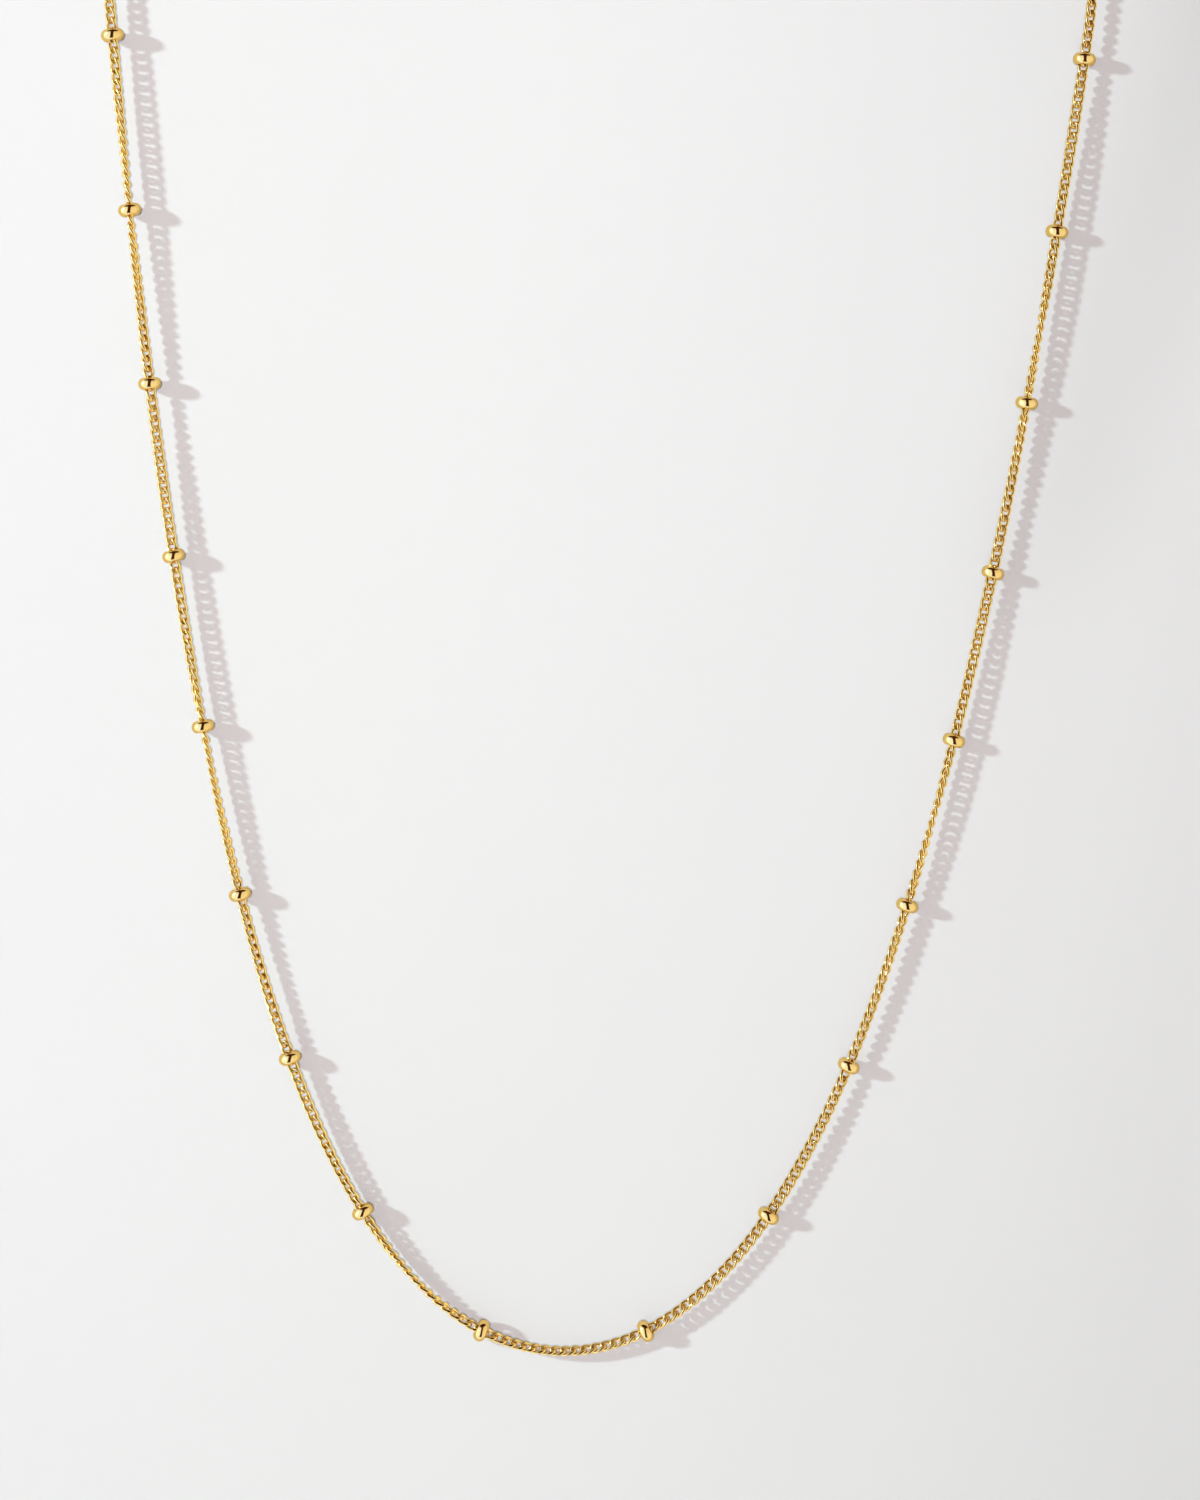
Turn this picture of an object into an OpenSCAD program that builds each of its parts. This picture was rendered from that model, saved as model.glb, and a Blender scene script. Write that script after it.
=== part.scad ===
// Bead station necklace: a fine curb chain with small round-edged beads along it and a ring clasp.
// It hangs as one closed loop in the XZ plane, with its front towards -Y.
// The origin is the inner edge of the clasp at the top of the loop, where the nape bears.

/* [Loop] */
// Constant of the catenary that the front hangs in: less makes the bottom narrower
catenary_a = 16.6; // [16:0.1:22]
// Chain length from the lowest point to where the round stretch over the top begins
hang_len = 147; // [145:1:170]

/* [Chain] */
// Width across the chain's face, which turns round and round as the chain hangs
chain_w = 1.18; // [1.1:0.02:1.24]
// Outer diameter of the plain link at each end of the chain
end_link_d = 1.5; // [1.4:0.05:1.7]
// Wire of the plain end links
end_link_wire = 0.34; // [0.3:0.01:0.36]

/* [Beads] */
// Number of beads on the loop
bead_count = 26; // [22:2:26]
// Chain length from one bead to the next
bead_pitch = 17; // [16:0.1:17]
// How far all beads lie to the right of an even layout, along the chain
bead_shift = 0.4; // [0:0.1:1]
// Diameter of a bead
bead_d = 2.25; // [2.15:0.05:2.4]
// Height of a bead along the chain
bead_h = 1.26; // [1.2:0.02:1.36]
// Diameter of the bore that the chain runs through
bead_bore = 1.36; // [1.34:0.02:1.44]

/* [Clasp] */
// Outer diameter of the ring clasp
clasp_d = 5.5; // [5:0.1:6]
// Section of the clasp's ring
clasp_wire = 1; // [0.9:0.05:1.1]
// Outer diameter of the eye that is soldered to the clasp
eye_d = 1.95; // [1.85:0.05:2]
// Wire of the eye
eye_wire = 0.45; // [0.4:0.01:0.45]
// Outer diameter of a jump ring
jump_ring_d = 3; // [2.8:0.1:3.4]
// Wire of a jump ring
jump_ring_wire = 0.5; // [0.4:0.01:0.5]
// Gap between the wires of two rings that hang in each other
link_gap = 0.05; // [0.04:0.01:0.06]

/* [Hidden] */
function bead_name(i) = str("bead_", i < 10 ? "0" : "", i);
$fn = 48;

// How far each bead leans on the chain, in degrees: four hidden beads, nine on the left from
// the top down, nine on the right from the bottom up, and four hidden beads
bead_leans = [
    0, 2, 0, -2,
    -4, -4, 2, -5, -1, -1, 2, 2, -3,
    -1, 0, 4, 1, 3, 4, -2, 0, -4,
    0, 2, -2, 0
];

// The catenary meets the circular arc over the top in one tangent
function asinh(x) = ln(x + sqrt(x * x + 1));
join_heading = atan(hang_len / catenary_a);
join_x = catenary_a * asinh(hang_len / catenary_a);
join_z = sqrt(catenary_a * catenary_a + hang_len * hang_len) - catenary_a;
arc_r = join_x / sin(join_heading);
arc_z = join_z + arc_r * cos(join_heading);
half_len = hang_len + arc_r * (180 - join_heading) * PI / 180;
// Height of the origin above the lowest point of the chain's centre line
origin_z = arc_z + arc_r - clasp_d / 2;

// The direction of the centre line, in degrees from +X towards +Z, at chain length s from the
// lowest point. s is negative on the left, and grows from the top left round to the top right.
function heading(s) =
    abs(s) <= hang_len
        ? atan(s / catenary_a)
        : sign(s) * (join_heading + (abs(s) - hang_len) / arc_r * 180 / PI);

// The point of the centre line at chain length s
function chain_point(s) =
    abs(s) <= hang_len
        ? [catenary_a * asinh(s / catenary_a), 0,
            sqrt(catenary_a * catenary_a + s * s) - catenary_a - origin_z]
        : [arc_r * sin(heading(s)), 0, arc_z - arc_r * cos(heading(s)) - origin_z];

// Puts its children at chain length s, their X along the chain and their Z into the loop
module on_chain(s) {
    translate(chain_point(s)) rotate([0, -heading(s), 0]) children();
}

// Puts its children on the arc at u to the right of the top, their X to the right, Z outwards
module at_top(u) {
    on_chain(u >= 0 ? half_len - u : -half_len - u) rotate([0, 180, 0]) children();
}

// Closure: each ring hangs in the next, and the row is centred on the top of the loop
clasp_r = (clasp_d - clasp_wire) / 2;
eye_r = (eye_d - eye_wire) / 2;
jump_ring_r = (jump_ring_d - jump_ring_wire) / 2;
end_link_r = (end_link_d - end_link_wire) / 2;
// Distance between the centres of two linked rings, from their mean radii and wires
function linked(r1, wire1, r2, wire2) = r1 + r2 - (wire1 + wire2) / 2 - link_gap;
clasp_to_jump = linked(clasp_r, clasp_wire, jump_ring_r, jump_ring_wire);
eye_to_jump = linked(eye_r, eye_wire, jump_ring_r, jump_ring_wire);
jump_to_end_link = linked(jump_ring_r, jump_ring_wire, end_link_r, end_link_wire);
// The eye sinks into the clasp's ring, where it is soldered
clasp_to_eye = clasp_r + eye_r + 0.3 * clasp_wire;
// From an end link's centre to the flat end of the chain's tube
end_link_to_chain = end_link_d / 2 + 0.1;
left_reach = clasp_to_jump + jump_to_end_link + end_link_to_chain;
right_reach = clasp_to_eye + eye_to_jump + jump_to_end_link + end_link_to_chain;
clasp_u = (left_reach - right_reach) / 2;
chain_end = half_len - (left_reach + right_reach) / 2;
knob_d = 0.6;
knob_angle = 120;

// Stations of the tube's rings on one half: the lowest point, both faces of each bead and the
// end of the chain, with more between them wherever the chain turns more than ring_turn
tube_sides = 8;
ring_turn = 10;
face_offset = bead_h / 2 + 0.3;
function half_keys(shift) = concat(
    [0],
    [for (k = [1:bead_count / 2], side = [-1, 1])
        (k - 0.5) * bead_pitch + shift + side * face_offset],
    [chain_end]
);
function steps(s1, s2) = ceil((heading(s2) - heading(s1)) / ring_turn);
// The beads of the right half lie bead_shift further from the lowest point, and those of the
// left half nearer
function half_stations(shift) =
    let (keys = half_keys(shift))
    concat(
        [0],
        [for (k = [1:len(keys) - 1])
            let (s1 = keys[k - 1], s2 = keys[k], count = steps(s1, s2))
            for (j = [1:count]) s1 + (s2 - s1) * j / count]
    );
function ring_point(s, angle) =
    chain_point(s) + chain_w / 2 * [
        -cos(angle) * sin(heading(s)),
        sin(angle),
        cos(angle) * cos(heading(s))
    ];

// Half of the chain as a tube, swept through stations that run from left to right
module chain_half(stations) {
    points = [for (s = stations, j = [0:tube_sides - 1]) ring_point(s, 360 * j / tube_sides)];
    last = tube_sides * (len(stations) - 1);
    sides = [for (i = [0:len(stations) - 2], j = [0:tube_sides - 1])
        let (a = i * tube_sides, next = (j + 1) % tube_sides)
        [a + j, a + next, a + tube_sides + next, a + tube_sides + j]];
    start_cap = [for (j = [tube_sides - 1:-1:0]) j];
    end_cap = [for (j = [0:tube_sides - 1]) last + j];
    polyhedron(points, concat([start_cap], sides, [end_cap]), convexity = 10);
}

module chain_left() {
    stations = half_stations(-bead_shift);
    color("goldenrod")
        chain_half([for (k = [len(stations) - 1:-1:0]) -stations[k]]);
}

module chain_right() {
    color("goldenrod")
        chain_half(half_stations(bead_shift));
}

// Half section of a bead: a fully rounded rim, cut by the bore
module bead_section() {
    difference() {
        translate([(bead_d - bead_h) / 2, 0]) circle(d = bead_h);
        translate([-bead_d, -bead_h]) square([bead_d + bead_bore / 2, 2 * bead_h]);
    }
}

module bead(i) {
    color("gold")
        on_chain((i - (bead_count + 1) / 2) * bead_pitch + bead_shift)
            rotate([0, 90 + bead_leans[i - 1], 0])
                rotate_extrude() bead_section();
}

// A ring of round wire with its axis along Z
module wire_ring(outer_d, wire) {
    rotate_extrude() translate([(outer_d - wire) / 2, 0]) circle(d = wire);
}

module end_link(u) {
    color("goldenrod")
        at_top(u) rotate([90, 0, 0]) wire_ring(end_link_d, end_link_wire);
}

module jump_ring(u) {
    color("goldenrod")
        at_top(u) wire_ring(jump_ring_d, jump_ring_wire);
}

// The ring, its soldered eye and the knob that opens it
module clasp() {
    color("gold")
        at_top(clasp_u) rotate([90, 0, 0]) {
            wire_ring(clasp_d, clasp_wire);
            translate([clasp_to_eye, 0, 0]) wire_ring(eye_d, eye_wire);
            rotate([0, 0, knob_angle]) translate([clasp_r, 0, 0]) rotate([0, 90, 0]) {
                cylinder(h = clasp_wire, d = knob_d);
                translate([0, 0, clasp_wire]) sphere(d = knob_d);
            }
        }
}

chain_left();
chain_right();
for (i = [1:bead_count]) bead(i);
end_link(clasp_u - clasp_to_jump - jump_to_end_link);  // end_link_left
end_link(clasp_u + clasp_to_eye + eye_to_jump + jump_to_end_link);  // end_link_right
jump_ring(clasp_u - clasp_to_jump);  // jump_ring_left
jump_ring(clasp_u + clasp_to_eye + eye_to_jump);  // jump_ring_right
clasp();
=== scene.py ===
import math

import bmesh
import bpy
from mathutils import Matrix, Vector


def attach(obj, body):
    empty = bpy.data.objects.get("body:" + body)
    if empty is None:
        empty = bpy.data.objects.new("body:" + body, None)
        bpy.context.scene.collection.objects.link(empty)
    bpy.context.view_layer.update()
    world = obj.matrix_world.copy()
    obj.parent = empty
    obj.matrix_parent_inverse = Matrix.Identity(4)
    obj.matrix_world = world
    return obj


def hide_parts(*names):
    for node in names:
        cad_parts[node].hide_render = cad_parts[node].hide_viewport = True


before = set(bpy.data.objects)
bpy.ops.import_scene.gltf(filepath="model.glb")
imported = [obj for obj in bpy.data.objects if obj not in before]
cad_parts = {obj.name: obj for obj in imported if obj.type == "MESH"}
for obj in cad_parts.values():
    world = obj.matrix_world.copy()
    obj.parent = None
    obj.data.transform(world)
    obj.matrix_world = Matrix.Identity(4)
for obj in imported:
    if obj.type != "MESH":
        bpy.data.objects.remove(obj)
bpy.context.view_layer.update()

MM = 0.001
BODY = "root"

# Sizes of the loop, as in the part's source
CATENARY_A = 16.6 * MM
HANG_LEN = 147 * MM
BEAD_PITCH = 17 * MM
BEAD_SHIFT = 0.4 * MM
BEAD_COUNT = 26
BEAD_D = 2.25 * MM
BEAD_H = 1.26 * MM
BEAD_BORE = 1.36 * MM
CHAIN_W = 1.18 * MM
CLASP_D = 5.5 * MM

# How far each bead leans on the chain, in degrees, from the top left round to the top right
BEAD_LEANS = [
    0, 2, 0, -2,
    -4, -4, 2, -5, -1, -1, 2, 2, -3,
    -1, 0, 4, 1, 3, 4, -2, 0, -4,
    0, 2, -2, 0,
]

# The catenary that the front hangs in meets the circular arc over the top in one tangent
join_heading = math.atan(HANG_LEN / CATENARY_A)
join_x = CATENARY_A * math.asinh(HANG_LEN / CATENARY_A)
join_z = math.hypot(CATENARY_A, HANG_LEN) - CATENARY_A
arc_r = join_x / math.sin(join_heading)
arc_z = join_z + arc_r * math.cos(join_heading)
origin_z = arc_z + arc_r - CLASP_D / 2


def heading(s):
    """The chain's direction at length s from the lowest point, from +X towards +Z."""
    if abs(s) <= HANG_LEN:
        return math.atan(s / CATENARY_A)
    return math.copysign(join_heading + (abs(s) - HANG_LEN) / arc_r, s)


def chain_point(s):
    """The point of the chain's centre line at length s from the lowest point."""
    if abs(s) <= HANG_LEN:
        rise = math.hypot(CATENARY_A, s) - CATENARY_A
        return Vector((CATENARY_A * math.asinh(s / CATENARY_A), 0, rise - origin_z))
    angle = heading(s)
    return Vector((arc_r * math.sin(angle), 0, arc_z - arc_r * math.cos(angle) - origin_z))


# Camera: nearly straight at the chain, from a little above and to the left of it, and turned about
# its line of sight
CAMERA_DISTANCE = 411.3 * MM
CAMERA_TARGET = Vector((2.2 * MM, 0, 60.1 * MM - origin_z))
CAMERA_ABOVE = math.radians(3.65)
CAMERA_LEFT = math.radians(1.3)
CAMERA_ROLL = math.radians(1.77)
CAMERA_NEAREST = 10 * MM
# Blender takes these two in millimetres
CAMERA_LENS = 100
CAMERA_SENSOR = 36


def make_camera():
    """The photo's camera, as fitted to the places of the beads."""
    data = bpy.data.cameras.new("camera")
    data.lens = CAMERA_LENS
    data.sensor_width = CAMERA_SENSOR
    data.clip_start = CAMERA_NEAREST
    camera = bpy.data.objects.new("camera", data)
    bpy.context.scene.collection.objects.link(camera)
    turn = (
        Matrix.Rotation(-CAMERA_LEFT, 4, "Z")
        @ Matrix.Rotation(math.pi / 2 - CAMERA_ABOVE, 4, "X")
        @ Matrix.Rotation(CAMERA_ROLL, 4, "Z")
    )
    back = turn.to_3x3() @ Vector((0, 0, 1))
    camera.matrix_world = Matrix.Translation(CAMERA_TARGET + back * CAMERA_DISTANCE) @ turn
    bpy.context.scene.camera = camera


make_camera()


# Node trees


def add(tree, kind, inputs=None, **settings):
    """Adds a node, sets its settings, and feeds its inputs with links or plain values."""
    made = tree.nodes.new(kind)
    for name, value in settings.items():
        setattr(made, name, value)
    for key, value in (inputs or {}).items():
        if isinstance(value, bpy.types.NodeSocket):
            tree.links.new(value, made.inputs[key])
        else:
            made.inputs[key].default_value = value
    return made


def calc(tree, operation, *values):
    """A Math node's result."""
    return add(tree, "ShaderNodeMath", dict(enumerate(values)), operation=operation).outputs[0]


def ramp(tree, value, start, end, first=0.0, last=1.0, kind="LINEAR"):
    """Runs from first to last while the value runs from start to end, and stops at both."""
    return add(
        tree, "ShaderNodeMapRange",
        {"Value": value, "From Min": start, "From Max": end, "To Min": first, "To Max": last},
        interpolation_type=kind,
    ).outputs[0]


def blend(tree, factor, first, second):
    """A mix of two colours, each a link or (red, green, blue)."""
    ends = [c if isinstance(c, bpy.types.NodeSocket) else (*c, 1) for c in (first, second)]
    return add(
        tree, "ShaderNodeMix", {0: factor, 6: ends[0], 7: ends[1]}, data_type="RGBA"
    ).outputs[2]


def noise(tree, place, scale, detail):
    """Soft random values round about a half."""
    return add(
        tree, "ShaderNodeTexNoise", {"Vector": place, "Scale": scale, "Detail": detail}
    ).outputs[0]


def new_tree(name, kind, inputs, outputs):
    """A node group with named sockets, each (name, socket type, default or None)."""
    tree = bpy.data.node_groups.new(name, kind)
    for in_out, sockets in (("INPUT", inputs), ("OUTPUT", outputs)):
        for socket_name, socket_type, default in sockets:
            socket = tree.interface.new_socket(socket_name, in_out=in_out, socket_type=socket_type)
            if default is not None:
                socket.default_value = default
    start = tree.nodes.new("NodeGroupInput").outputs
    end = tree.nodes.new("NodeGroupOutput").inputs
    return tree, start, end


# Finishes

# Polished metal has soft waves and, finer by MARK_FINENESS, tumbling marks. The ranges say which
# values of their noise begin to show and which show in full.
WAVE_DETAIL = 2.0
WAVE_RANGE = (0.35, 0.7)
MARK_FINENESS = 6.0
MARK_DETAIL = 3.0
MARK_RANGE = (0.45, 0.75)
# Height of a mark, as a share of a wave's
MARK_HEIGHT = 0.15


def make_polish_group():
    """The waves and marks of polished metal, as a shade, a roughness and a height."""
    tree, start, end = new_tree(
        "tumbled polish",
        "ShaderNodeTree",
        [
            ("Color", "NodeSocketColor", (1, 1, 1, 1)),
            ("Deep Color", "NodeSocketColor", (1, 1, 1, 1)),
            ("Mark Size", "NodeSocketFloat", 0.3 * MM),
            ("Smooth", "NodeSocketFloat", 0.08),
            ("Dull", "NodeSocketFloat", 0.2),
        ],
        [
            ("Color", "NodeSocketColor", None),
            ("Roughness", "NodeSocketFloat", None),
            ("Height", "NodeSocketFloat", None),
        ],
    )
    place = add(tree, "ShaderNodeTexCoord").outputs["Object"]
    scale = calc(tree, "DIVIDE", 1.0, start["Mark Size"])
    waves = noise(tree, place, scale, WAVE_DETAIL)
    marks = noise(tree, place, calc(tree, "MULTIPLY", scale, MARK_FINENESS), MARK_DETAIL)
    shade = blend(tree, ramp(tree, waves, *WAVE_RANGE), start["Color"], start["Deep Color"])
    tree.links.new(shade, end["Color"])
    most = calc(tree, "SUBTRACT", start["Dull"], start["Smooth"])
    dulled = calc(tree, "MULTIPLY", ramp(tree, marks, *MARK_RANGE), most)
    tree.links.new(calc(tree, "ADD", start["Smooth"], dulled), end["Roughness"])
    height = calc(tree, "ADD", waves, calc(tree, "MULTIPLY", marks, MARK_HEIGHT))
    tree.links.new(height, end["Height"])
    return tree


polish_group = make_polish_group()


def make_gold(name, color, deep_color, mark_size, smooth, dull, wave_height, painted_strip_reflection=False):
    """Polished gold: its colour, its deeper tone, the size, roughnesses and height of its marks.

    If asked, a painted reflection makes the room's dark strip show stronger along the middle of a
    thin wire, where the wire faces the viewer, and wider towards the loop's right."""
    material = bpy.data.materials.new(name)
    material.use_nodes = True
    tree = material.node_tree
    shader = tree.nodes["Principled BSDF"]
    shader.inputs["Metallic"].default_value = 1.0
    shader.inputs["Specular Tint"].default_value = (*EDGE_GOLD, 1)
    polish = add(
        tree, "ShaderNodeGroup",
        {
            "Color": (*color, 1),
            "Deep Color": (*deep_color, 1),
            "Mark Size": mark_size,
            "Smooth": smooth,
            "Dull": dull,
        },
        node_tree=polish_group,
    )
    bump = add(
        tree, "ShaderNodeBump",
        {"Height": polish.outputs["Height"], "Strength": 1.0, "Distance": wave_height},
    )
    shown = polish.outputs["Color"]
    # Painted reflection: where a wire faces the viewer, its middle is darkened towards the room's
    # dark strip, over a wider band towards the loop's right
    if painted_strip_reflection:
        facing = add(tree, "ShaderNodeLayerWeight", {"Blend": 0.5}).outputs["Facing"]
        place = add(tree, "ShaderNodeTexCoord").outputs["Object"]
        sideways = add(tree, "ShaderNodeSeparateXYZ", {0: place}).outputs["X"]
        edge = ramp(tree, sideways, -join_x, join_x, PAINTED_STRIP_EDGE_LEFT, PAINTED_STRIP_EDGE_RIGHT)
        middle = ramp(tree, facing, edge, 0.0, kind="SMOOTHSTEP")
        shown = blend(tree, middle, shown, PAINTED_STRIP_COLOR)
    # The light that the gold throws back on the wall is dim and nearly white
    for_wall = add(tree, "ShaderNodeLightPath").outputs["Is Diffuse Ray"]
    shown = blend(tree, for_wall, shown, THROWN_LIGHT)
    tree.links.new(shown, shader.inputs["Base Color"])
    tree.links.new(polish.outputs["Roughness"], shader.inputs["Roughness"])
    tree.links.new(bump.outputs[0], shader.inputs["Normal"])
    return material


GOLD = (0.85, 0.605, 0.213)
DEEP_GOLD = (0.82, 0.54, 0.155)
LINK_GOLD = (0.99, 0.70, 0.23)
DEEP_LINK_GOLD = (0.97, 0.65, 0.18)
EDGE_GOLD = (0.9, 0.70, 0.36)
THROWN_LIGHT = (0.5, 0.47, 0.43)
# Colour of the painted reflection of the room's dark strip along the wires
PAINTED_STRIP_COLOR = (0.15, 0.05, 0.004)
# How far the painted reflection of the room's dark strip reaches from a wire's middle, at the
# loop's left and at its right: 0 is the middle and 1 the wire's edge
PAINTED_STRIP_EDGE_LEFT = 0.10
PAINTED_STRIP_EDGE_RIGHT = 0.20
link_gold = make_gold(
    "link gold", LINK_GOLD, DEEP_LINK_GOLD,
    mark_size=0.5 * MM, smooth=0.04, dull=0.12, wave_height=0.004 * MM, painted_strip_reflection=True,
)
bead_gold = make_gold(
    "bead gold", GOLD, DEEP_GOLD,
    mark_size=0.6 * MM, smooth=0.05, dull=0.12, wave_height=0.008 * MM,
)
clasp_gold = make_gold(
    "clasp gold", GOLD, DEEP_GOLD,
    mark_size=0.8 * MM, smooth=0.10, dull=0.20, wave_height=0.005 * MM,
)


# Meshes


def new_piece(name, mesh, slot, *nodes):
    """Puts a finished mesh in the scene in place of its CAD nodes."""
    piece = bpy.data.objects.new(name, mesh)
    bpy.context.scene.collection.objects.link(piece)
    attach(piece, BODY)
    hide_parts(*nodes)
    return piece


def grow(tree, seeds, values):
    """Runs a geometry node tree on a mesh of seed points and gives back the plain mesh."""
    carrier = bpy.data.objects.new("carrier", seeds)
    bpy.context.scene.collection.objects.link(carrier)
    modifier = carrier.modifiers.new("shape", "NODES")
    modifier.node_group = tree
    for item in tree.interface.items_tree:
        if item.in_out == "INPUT" and item.name in values:
            modifier[item.identifier] = values[item.name]
    depsgraph = bpy.context.evaluated_depsgraph_get()
    mesh = bpy.data.meshes.new_from_object(carrier.evaluated_get(depsgraph))
    carrier.modifiers.remove(modifier)
    bpy.data.objects.remove(carrier)
    return mesh


# The chain's twist about its own line: (chain length from the lowest point in mm, turn of the
# links' flat side in degrees, from the front towards the outside of the loop)
TWISTS = [
    (-222, -120),
    (-221, -108),
    (-180, -60),
    (-145, 22),
    (-139, 40),
    (-134, 62),
    (-126.3, 90),
    (-121, 113),
    (-115, 133),
    (-108, 147),
    (-101, 177),
    (-92, 200),
    (-84, 221),
    (-79, 241),
    (-72.3, 269),
    (-65, 289),
    (-58, 308),
    (-52, 319),
    (-46, 336),
    (-39, 359),
    (-32, 389),
    (-26, 402),
    (-21, 421),
    (-15.8, 447),
    (-11.5, 471),
    (-8, 500),
    (-2, 488),
    (4, 490),
    (12, 505),
    (25, 524),
    (34, 540),
    (44, 570),
    (55, 589),
    (61, 593),
    (69.8, 630),
    (75, 656),
    (79, 680),
    (84, 686),
    (89, 712),
    (95, 728),
    (103, 756),
    (109, 773),
    (114, 784),
    (119.2, 812),
    (124, 847),
    (132, 860),
    (138, 895),
    (147, 925),
    (180, 985),
    (221, 1008),
    (222, 1020),
]
TO_FRONT = Vector((0, -1, 0))


def twist(s):
    """The turn of the links at chain length s, on a smooth curve through the table."""
    at = s / MM
    last = len(TWISTS) - 1
    i = max(0, min(last - 1, sum(1 for place, _ in TWISTS if place <= at) - 1))
    (s0, t0), (s1, t1) = TWISTS[i], TWISTS[i + 1]

    def slope(k):
        """The curve's slope at the table's place k, from the places on its two sides."""
        below, above = TWISTS[max(0, k - 1)], TWISTS[min(last, k + 1)]
        return (above[1] - below[1]) / (above[0] - below[0])

    step = s1 - s0
    u = min(1.0, max(0.0, (at - s0) / step))
    return math.radians(
        t0 * (2 * u**3 - 3 * u**2 + 1)
        + t1 * (3 * u**2 - 2 * u**3)
        + step * (slope(i) * (u**3 - 2 * u**2 + u) + slope(i + 1) * (u**3 - u**2))
    )


# Curb links: a round wire bent to an oval and then twisted about the oval's long axis
LINK_WIRE = 0.34 * MM
LINK_SLACK = 0.12 * MM
LINKS_PER_SPAN = 16
FIRST_LINK = 0.94 * MM
LINK_TURN = math.radians(-42)
# How far a link may lie askew in its neighbours, each way
LINK_PLAY = math.radians(1.5)
LINK_SIDES = 16
WIRE_SIDES = 6
# Roundness of the oval: 1 is an ellipse, less is squarer
LINK_ROUND = 0.75
# How the turn grows from the link's middle to its ends: 1 is evenly, less is sooner
TURN_SPREAD = 0.8
# The last link of each half is smaller, and its far bend passes through the end link between that
# ring's near wire and the jump ring
LAST_SHARE = 0.78
LAST_BEND = 222.537 * MM
link_pitch = (BEAD_PITCH - 2 * FIRST_LINK) / (LINKS_PER_SPAN - 1)
link_length = link_pitch + LINK_WIRE + LINK_SLACK
link_width = CHAIN_W - LINK_WIRE
# The short link inside a bead joins the two links whose ends reach into its bore
hidden_link_length = 2 * FIRST_LINK - link_length + 2 * (LINK_WIRE + LINK_SLACK)


def link_places(side):
    """Each link of a half: (distance along the chain from the lowest point, share of a link's
    length, share of its width and wire)."""
    places = []
    bead = -BEAD_PITCH / 2 + side * BEAD_SHIFT
    first = LINKS_PER_SPAN // 2
    for _ in range(BEAD_COUNT // 2):
        for i in range(first, LINKS_PER_SPAN):
            places.append((bead + FIRST_LINK + i * link_pitch, 1.0, 1.0))
        first = 0
        bead += BEAD_PITCH
        places.append((bead, hidden_link_length / link_length, 1.0))
    start = bead + FIRST_LINK
    last = LAST_BEND - LAST_SHARE * link_length / 2
    last_inner = last - LAST_SHARE * (link_length - LINK_WIRE) / 2
    reach = last_inner + (LINK_WIRE + LINK_SLACK) / 2 - link_length / 2 - start
    count = round(reach / link_pitch)
    for i in range(count + 1):
        places.append((start + i * reach / count, 1.0, 1.0))
    places.append((last, LAST_SHARE, LAST_SHARE))
    return places


def link_seeds(side):
    """A mesh of points, one for each link of a half, that carries how the link lies and its
    stretch."""
    places = link_places(side)
    points, along, facing, stretch = [], [], [], []
    for s, length_share, width_share in places:
        angle = heading(side * s)
        direction = Vector((math.cos(angle), 0, math.sin(angle)))
        outward = Vector((math.sin(angle), 0, -math.cos(angle)))
        turn = twist(side * s)
        points.append(chain_point(side * s))
        along.append(direction)
        facing.append(TO_FRONT * math.cos(turn) + outward * math.sin(turn))
        stretch.append(Vector((length_share, width_share, width_share)))
    seeds = bpy.data.meshes.new("link places")
    seeds.from_pydata(points, [], [])
    for name, vectors in (("along", along), ("facing", facing), ("stretch", stretch)):
        attribute = seeds.attributes.new(name, "FLOAT_VECTOR", "POINT")
        attribute.data.foreach_set("vector", [x for v in vectors for x in v])
    return seeds


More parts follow.
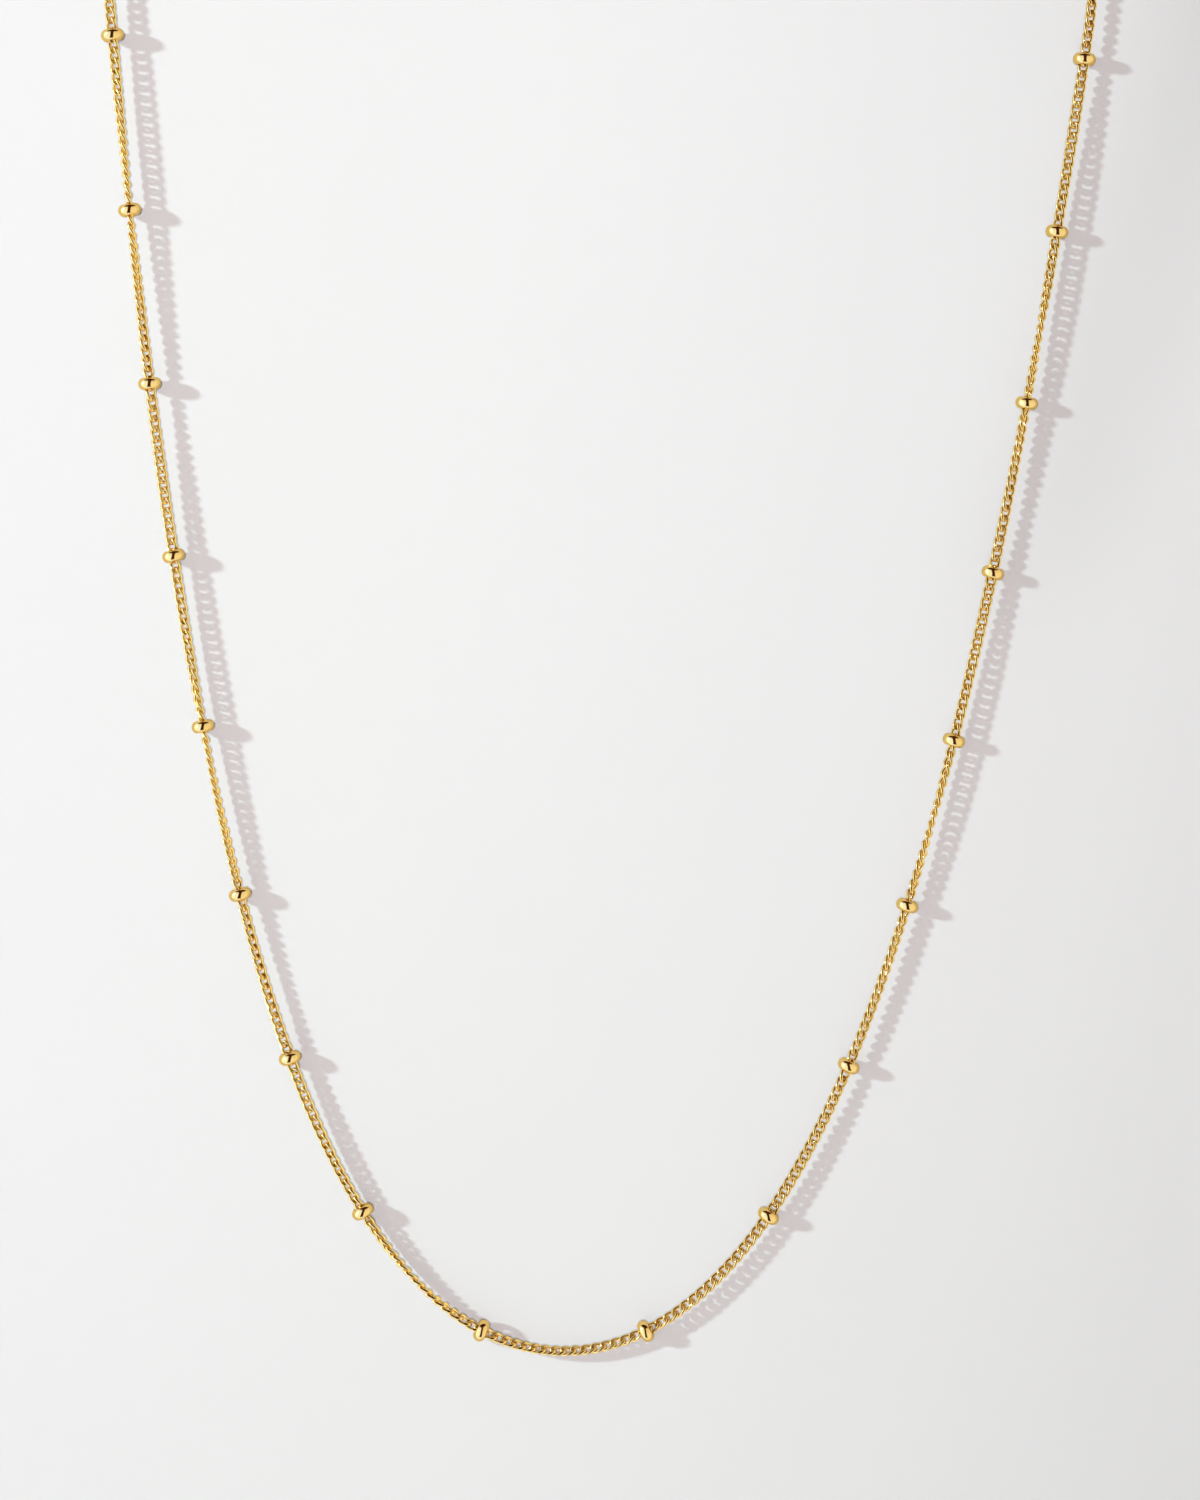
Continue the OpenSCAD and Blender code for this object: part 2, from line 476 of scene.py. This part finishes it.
def make_chain_tree():
    """Curb links on a mesh of points, with the necklace's links as the default."""
    tree, start, end = new_tree(
        "curb links",
        "GeometryNodeTree",
        [
            ("Link Points", "NodeSocketGeometry", None),
            ("Link Length", "NodeSocketFloat", link_length),
            ("Link Width", "NodeSocketFloat", link_width),
            ("Link Turn", "NodeSocketFloat", LINK_TURN),
            ("Roundness", "NodeSocketFloat", LINK_ROUND),
            ("Turn Spread", "NodeSocketFloat", TURN_SPREAD),
            ("Wire", "NodeSocketFloat", LINK_WIRE),
            ("Link Sides", "NodeSocketInt", LINK_SIDES),
            ("Wire Sides", "NodeSocketInt", WIRE_SIDES),
            ("Play", "NodeSocketFloat", LINK_PLAY),
            ("Seed", "NodeSocketInt", 0),
            ("Material", "NodeSocketMaterial", None),
        ],
        [("Chain", "NodeSocketGeometry", None)],
    )
    circle = add(
        tree, "GeometryNodeCurvePrimitiveCircle",
        {"Resolution": start["Link Sides"], "Radius": 1.0},
    )
    position = add(tree, "GeometryNodeInputPosition").outputs[0]
    unit = add(tree, "ShaderNodeSeparateXYZ", {0: position})

    def signed_power(value, exponent):
        """A power of the value's size that keeps its sign."""
        size = calc(tree, "POWER", calc(tree, "ABSOLUTE", value), exponent)
        return calc(tree, "MULTIPLY", calc(tree, "SIGN", value), size)

    long_way = signed_power(unit.outputs["X"], start["Roundness"])
    cross_way = signed_power(unit.outputs["Y"], start["Roundness"])
    lift = calc(tree, "MULTIPLY", signed_power(long_way, start["Turn Spread"]), start["Link Turn"])
    reach = calc(tree, "MULTIPLY", cross_way, calc(tree, "MULTIPLY", start["Link Width"], 0.5))
    bent = add(
        tree, "ShaderNodeCombineXYZ",
        {
            "X": calc(
                tree, "MULTIPLY", long_way,
                calc(tree, "MULTIPLY", start["Link Length"], 0.5),
            ),
            "Y": calc(tree, "MULTIPLY", reach, calc(tree, "COSINE", lift)),
            "Z": calc(tree, "MULTIPLY", reach, calc(tree, "SINE", lift)),
        },
    )
    outline = add(
        tree, "GeometryNodeSetPosition",
        {"Geometry": circle.outputs["Curve"], "Position": bent.outputs[0]},
    )
    section = add(
        tree, "GeometryNodeCurvePrimitiveCircle",
        {
            "Resolution": start["Wire Sides"],
            "Radius": calc(tree, "MULTIPLY", start["Wire"], 0.5),
        },
    )
    link = add(
        tree, "GeometryNodeCurveToMesh",
        {"Curve": outline.outputs[0], "Profile Curve": section.outputs["Curve"]},
    )

    def carried(name):
        """A vector that the link's point carries."""
        return add(
            tree, "GeometryNodeInputNamedAttribute", {"Name": name}, data_type="FLOAT_VECTOR"
        ).outputs["Attribute"]

    lie = add(
        tree, "FunctionNodeAxesToRotation",
        {0: carried("along"), 1: carried("facing")},
        primary_axis="X", secondary_axis="Z",
    )
    loose = add(
        tree, "FunctionNodeRandomValue",
        {
            "Min": calc(tree, "MULTIPLY", start["Play"], -1.0),
            "Max": start["Play"],
            "Seed": start["Seed"],
        },
        data_type="FLOAT_VECTOR",
    )
    lie_loose = add(
        tree, "FunctionNodeRotateRotation",
        {0: lie.outputs[0], 1: loose.outputs[0]},
        rotation_space="LOCAL",
    )
    links = add(
        tree, "GeometryNodeInstanceOnPoints",
        {
            "Points": start["Link Points"],
            "Instance": link.outputs[0],
            "Rotation": lie_loose.outputs[0],
            "Scale": carried("stretch"),
        },
    )
    real = add(tree, "GeometryNodeRealizeInstances", {0: links.outputs[0]})
    smooth = add(tree, "GeometryNodeSetShadeSmooth", {"Geometry": real.outputs[0]})
    finished = add(
        tree, "GeometryNodeSetMaterial",
        {"Geometry": smooth.outputs[0], "Material": start["Material"]},
    )
    tree.links.new(finished.outputs[0], end["Chain"])
    return tree


chain_tree = make_chain_tree()
for half, side, seed in (("left", -1, 3), ("right", 1, 8)):
    mesh = grow(chain_tree, link_seeds(side), {"Seed": seed, "Material": link_gold})
    new_piece("curb_links_" + half, mesh, "chain_gold", "chain_" + half)


# Beads: a ring with a fully rounded rim, whose bore has rolled edges


def lathe(profile, sides):
    """A closed surface swept by a closed profile of (radius, height) round the Z axis."""
    mesh = bpy.data.meshes.new("turned")
    shape = bmesh.new()
    rings = []
    for j in range(sides):
        angle = 2 * math.pi * j / sides
        rings.append(
            [shape.verts.new((r * math.cos(angle), r * math.sin(angle), z)) for r, z in profile]
        )
    for j in range(sides):
        ring, after = rings[j], rings[(j + 1) % sides]
        for k in range(len(profile)):
            m = (k + 1) % len(profile)
            shape.faces.new((ring[k], after[k], after[m], ring[m])).smooth = True
    bmesh.ops.recalc_face_normals(shape, faces=shape.faces)
    shape.to_mesh(mesh)
    shape.free()
    return mesh


BEAD_EDGE = 0.07 * MM
BEAD_SIDES = 40
RIM_STEPS = 20
EDGE_STEPS = 4


def bead_profile():
    """Half section of a bead: the rim's arc, and the bore between two rolled edges."""
    rim_r = BEAD_H / 2
    rim_centre = (BEAD_D - BEAD_H) / 2
    # The rolled edge touches the rim's arc from inside and the bore's wall
    edge_x = BEAD_BORE / 2 + BEAD_EDGE
    edge_angle = math.acos((edge_x - rim_centre) / (rim_r - BEAD_EDGE))
    edge_z = (rim_r - BEAD_EDGE) * math.sin(edge_angle)
    points = []
    for k in range(RIM_STEPS + 1):
        angle = edge_angle * (2 * k / RIM_STEPS - 1)
        points.append((rim_centre + rim_r * math.cos(angle), rim_r * math.sin(angle)))
    for side, turns in ((1, range(1, EDGE_STEPS + 1)), (-1, range(EDGE_STEPS, 0, -1))):
        for k in turns:
            angle = edge_angle + (math.pi - edge_angle) * k / EDGE_STEPS
            height = edge_z + BEAD_EDGE * math.sin(angle)
            points.append((edge_x + BEAD_EDGE * math.cos(angle), side * height))
    return points


def on_chain(s):
    """The place at chain length s, with X along the chain and Z into the loop."""
    return Matrix.Translation(chain_point(s)) @ Matrix.Rotation(-heading(s), 4, "Y")


for i, lean in enumerate(BEAD_LEANS, start=1):
    node = f"bead_{i:02d}"
    s = (i - (BEAD_COUNT + 1) / 2) * BEAD_PITCH + BEAD_SHIFT
    mesh = lathe(bead_profile(), BEAD_SIDES)
    mesh.transform(on_chain(s) @ Matrix.Rotation(math.radians(90 + lean), 4, "Y"))
    mesh.materials.append(bead_gold)
    new_piece("station_" + node, mesh, "bead_gold", node)


# Closure: the CAD rings and clasp have their true shape and get their finish here
for node, finish in (
    ("end_link_left", link_gold),
    ("end_link_right", link_gold),
    ("jump_ring_left", clasp_gold),
    ("jump_ring_right", clasp_gold),
    ("clasp", clasp_gold),
):
    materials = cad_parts[node].data.materials
    materials.clear()
    materials.append(finish)


# Studio: a pale wall just behind the chain, a pale floor, two small lamps and a soft room
WALL_GAP = 1.15 * MM
# The wall lies at the gap behind the lowest point of the chain, and leans back to the right and up
# by these shares of the way
WALL_LEAN_X = -0.0025
WALL_LEAN_Z = 0.0011
WALL_HALF = 400 * MM
FLOOR_Z = -260 * MM
WALL_COLOR = (0.914, 0.911, 0.907)
WALL_ROUGHNESS = 0.9
# Faint clouds in the paint
CLOUD_SCALE = 60.0
CLOUD_DETAIL = 4.0
CLOUD_SHADE = 0.012
# Painted shade on the wall: it darkens to the right, a little downwards, and most in the upper
# right corner, where a painted soft shadow band leans along the chain's outer side
SHADE_START_X = -57 * MM
SHADE_END_X = 60 * MM
SHADE_RIGHT = 0.08
SHADE_START_Z = -30 * MM
SHADE_END_Z = -200 * MM
SHADE_DOWN = 0.115
SHADE_CORNER = 0.10
SHADE_BAND = 0.065
# How late each darkening sets in: 1 is evenly, more is later
RIGHT_POWER = 3.0
DOWN_POWER = 1.5
CORNER_POWER = 5.0
# The painted shadow band's line at the origin's height, its lean from upright, its reach to each
# side, and the heights where it begins and is full
BAND_X = 72.6 * MM
BAND_LEAN = 0.266
BAND_REACH = 13 * MM
BAND_FOOT_Z = -120 * MM
BAND_FULL_Z = -92 * MM


def make_wall_paint(name, color):
    """Pale matt surface with painted shade, clear from behind, so that nothing hides the necklace.
    """
    material = bpy.data.materials.new(name)
    material.use_nodes = True
    tree = material.node_tree
    shader = tree.nodes["Principled BSDF"]
    shader.inputs["Roughness"].default_value = WALL_ROUGHNESS
    shader.inputs["Specular IOR Level"].default_value = 0.0
    place = add(tree, "ShaderNodeTexCoord").outputs["Object"]
    axes = add(tree, "ShaderNodeSeparateXYZ", {0: place})
    x, z = axes.outputs["X"], axes.outputs["Z"]
    # Painted shade: darker to the right, downwards and in the upper right corner, and a painted
    # soft shadow band along the chain's outer side
    down = ramp(tree, z, SHADE_START_Z, SHADE_END_Z)
    right_share = calc(tree, "POWER", ramp(tree, x, SHADE_START_X, SHADE_END_X), RIGHT_POWER)
    up_share = calc(tree, "POWER", calc(tree, "SUBTRACT", 1.0, down), CORNER_POWER)
    corner_share = calc(tree, "MULTIPLY", right_share, up_share)
    painted_shade_right = calc(
        tree, "MULTIPLY", right_share,
        calc(tree, "ADD", SHADE_RIGHT, calc(tree, "MULTIPLY", corner_share, SHADE_CORNER)),
    )
    painted_shade_down = calc(tree, "MULTIPLY", calc(tree, "POWER", down, DOWN_POWER), SHADE_DOWN)
    line_x = calc(tree, "ADD", BAND_X, calc(tree, "MULTIPLY", z, BAND_LEAN))
    from_line = calc(tree, "ABSOLUTE", calc(tree, "SUBTRACT", x, line_x))
    near_line = ramp(tree, from_line, BAND_REACH, 0.0, last=SHADE_BAND, kind="SMOOTHSTEP")
    above_foot = ramp(tree, z, BAND_FOOT_Z, BAND_FULL_Z, kind="SMOOTHSTEP")
    painted_shadow_band = calc(tree, "MULTIPLY", near_line, above_foot)
    painted_shade = calc(tree, "ADD", calc(tree, "ADD", painted_shade_right, painted_shade_down), painted_shadow_band)
    cloud = noise(tree, place, CLOUD_SCALE, CLOUD_DETAIL)
    # The painted shade together with the paint's own faint clouds
    dark = calc(tree, "ADD", painted_shade, calc(tree, "MULTIPLY", cloud, CLOUD_SHADE))
    tree.links.new(blend(tree, dark, color, (0, 0, 0)), shader.inputs["Base Color"])
    clear = add(tree, "ShaderNodeBsdfTransparent")
    seen = add(
        tree, "ShaderNodeMixShader",
        {
            0: add(tree, "ShaderNodeNewGeometry").outputs["Backfacing"],
            1: shader.outputs[0],
            2: clear.outputs[0],
        },
    )
    tree.links.new(seen.outputs[0], tree.nodes["Material Output"].inputs["Surface"])
    return material


def make_stage(name, corners, material):
    """A flat sheet behind or under the necklace, which isn't part of it."""
    mesh = bpy.data.meshes.new(name)
    mesh.from_pydata(corners, [], [(0, 1, 2, 3)])
    mesh.materials.append(material)
    piece = bpy.data.objects.new(name, mesh)
    bpy.context.scene.collection.objects.link(piece)
    return piece


def wall_y(x, z):
    """How far the wall lies behind the plane that the chain hangs in."""
    return WALL_GAP + WALL_LEAN_X * x + WALL_LEAN_Z * (z + origin_z)


plaster = make_wall_paint("pale plaster", WALL_COLOR)
wall_corners = [
    (-WALL_HALF, wall_y(-WALL_HALF, FLOOR_Z), FLOOR_Z),
    (WALL_HALF, wall_y(WALL_HALF, FLOOR_Z), FLOOR_Z),
    (WALL_HALF, wall_y(WALL_HALF, WALL_HALF), WALL_HALF),
    (-WALL_HALF, wall_y(-WALL_HALF, WALL_HALF), WALL_HALF),
]
make_stage("wall", wall_corners, plaster)
floor_corners = [
    (-WALL_HALF, wall_y(-WALL_HALF, FLOOR_Z), FLOOR_Z),
    (-WALL_HALF, -WALL_HALF, FLOOR_Z),
    (WALL_HALF, -WALL_HALF, FLOOR_Z),
    (WALL_HALF, wall_y(WALL_HALF, FLOOR_Z), FLOOR_Z),
]
# The gold mirrors the room and not the floor, which lies out of the picture
make_stage("floor", floor_corners, plaster).visible_glossy = False

# Lamps: one from the left, a little above, low over the wall, and a smaller one behind the camera,
# which the gold doesn't mirror. Their distances and sizes are in metres and their powers in watts.
KEY_ABOVE = math.radians(14)
KEY_OFF_WALL = math.radians(26.5)
KEY_DISTANCE = 1.5
KEY_SIZE = 0.10
KEY_POWER = 14.9
KEY_COLOR = (0.81, 0.99, 1.0)
FRONT_OFF_WALL = math.radians(86)
FRONT_ABOVE = math.radians(40)
FRONT_DISTANCE = 1.0
FRONT_SIZE = 0.05
FRONT_POWER = 4.43
FRONT_COLOR = (1.0, 0.906, 0.896)


def make_lamp(name, off_wall, above, distance, size, power, color):
    """A round lamp on the left that shines at the necklace: off_wall is its angle to the wall,
    and above how far it is turned upwards."""
    data = bpy.data.lights.new(name, "AREA")
    data.shape = "DISK"
    data.size = size
    data.energy = power
    data.color = color
    lamp = bpy.data.objects.new(name, data)
    bpy.context.scene.collection.objects.link(lamp)
    towards = Vector((
        -math.cos(off_wall) * math.cos(above),
        -math.sin(off_wall),
        math.cos(off_wall) * math.sin(above),
    ))
    place = Matrix.Translation(CAMERA_TARGET + towards * distance)
    lamp.matrix_world = place @ towards.to_track_quat("Z", "Y").to_matrix().to_4x4()
    return lamp


make_lamp("key", KEY_OFF_WALL, KEY_ABOVE, KEY_DISTANCE, KEY_SIZE, KEY_POWER, KEY_COLOR)
front = make_lamp(
    "front", FRONT_OFF_WALL, FRONT_ABOVE, FRONT_DISTANCE, FRONT_SIZE, FRONT_POWER, FRONT_COLOR
)
front.visible_glossy = False

# The room that the gold mirrors: a window on the left, a duller side on the right, a dark ceiling
# and a dark upright strip behind the camera. The places are parts of a direction's unit vector.
FILL_LIGHT = (0.214, 0.186, 0.183)
WINDOW = (1.6, 1.9, 2.8)
LEFT_SIDE = (1.17, 1.45, 2.25)
RIGHT_SIDE = (1.13, 1.14, 1.22)
DARK_ROOM = (0.075, 0.020, 0.006)
# How far the room is dimmed above, and for light that meets the gold twice
UPPER_SHADE = 0.10
DEEP_SHADE = 0.15
# Where the left side passes into the right one, and where the window and the dimming above begin
# and are full
SIDES_RANGE = (-0.5, 0.5)
WINDOW_RANGE = (-0.70, -0.90)
UPPER_RANGE = (-0.3, 0.6)
STRIP_HALF = 0.26
STRIP_SOFT = 0.06
STRIP_FOOT = -0.90
CEILING_FROM = 0.72
CEILING_SOFT = 0.08
BEHIND_COLOR = (0.8, 0.8, 0.8)


def make_world():
    """The light all round, which the gold, the wall and the camera each see differently."""
    world = bpy.data.worlds.new("studio")
    world.use_nodes = True
    bpy.context.scene.world = world
    tree = world.node_tree
    way = add(tree, "ShaderNodeTexCoord").outputs["Generated"]
    axes = add(tree, "ShaderNodeSeparateXYZ", {0: way})

    def share(value, start, end):
        """A soft step from 0 to 1 between two values."""
        return ramp(tree, value, start, end, kind="SMOOTHSTEP")

    sideways = axes.outputs["X"]
    up = axes.outputs["Z"]
    sides = blend(tree, share(sideways, *SIDES_RANGE), LEFT_SIDE, RIGHT_SIDE)
    windowed = blend(tree, share(sideways, *WINDOW_RANGE), sides, WINDOW)
    upper = calc(tree, "MULTIPLY", share(up, *UPPER_RANGE), UPPER_SHADE)
    shaded = blend(tree, upper, windowed, DARK_ROOM)
    ceiling = share(up, CEILING_FROM - CEILING_SOFT, CEILING_FROM + CEILING_SOFT)
    under_ceiling = blend(tree, ceiling, shaded, DARK_ROOM)
    from_middle = calc(tree, "ABSOLUTE", sideways)
    across_strip = share(from_middle, STRIP_HALF + STRIP_SOFT, STRIP_HALF - STRIP_SOFT)
    above_foot = share(up, STRIP_FOOT - STRIP_SOFT, STRIP_FOOT + STRIP_SOFT)
    strip = calc(tree, "MULTIPLY", across_strip, above_foot)
    room = blend(tree, strip, under_ceiling, DARK_ROOM)
    light_path = add(tree, "ShaderNodeLightPath")
    # Light that meets the gold twice, as between two links, finds less of the room
    twice = share(light_path.outputs["Glossy Depth"], 1.0, 2.0)
    lit = blend(tree, calc(tree, "MULTIPLY", twice, DEEP_SHADE), room, DARK_ROOM)
    # The wall gets an even fill instead of the room
    on_wall = share(light_path.outputs["Diffuse Depth"], 0.0, 1.0)
    lit = blend(tree, on_wall, lit, FILL_LIGHT)
    seen = blend(tree, light_path.outputs["Is Camera Ray"], lit, BEHIND_COLOR)
    tree.links.new(seen, tree.nodes["Background"].inputs["Color"])


make_world()
bpy.context.scene.view_settings.view_transform = "Standard"
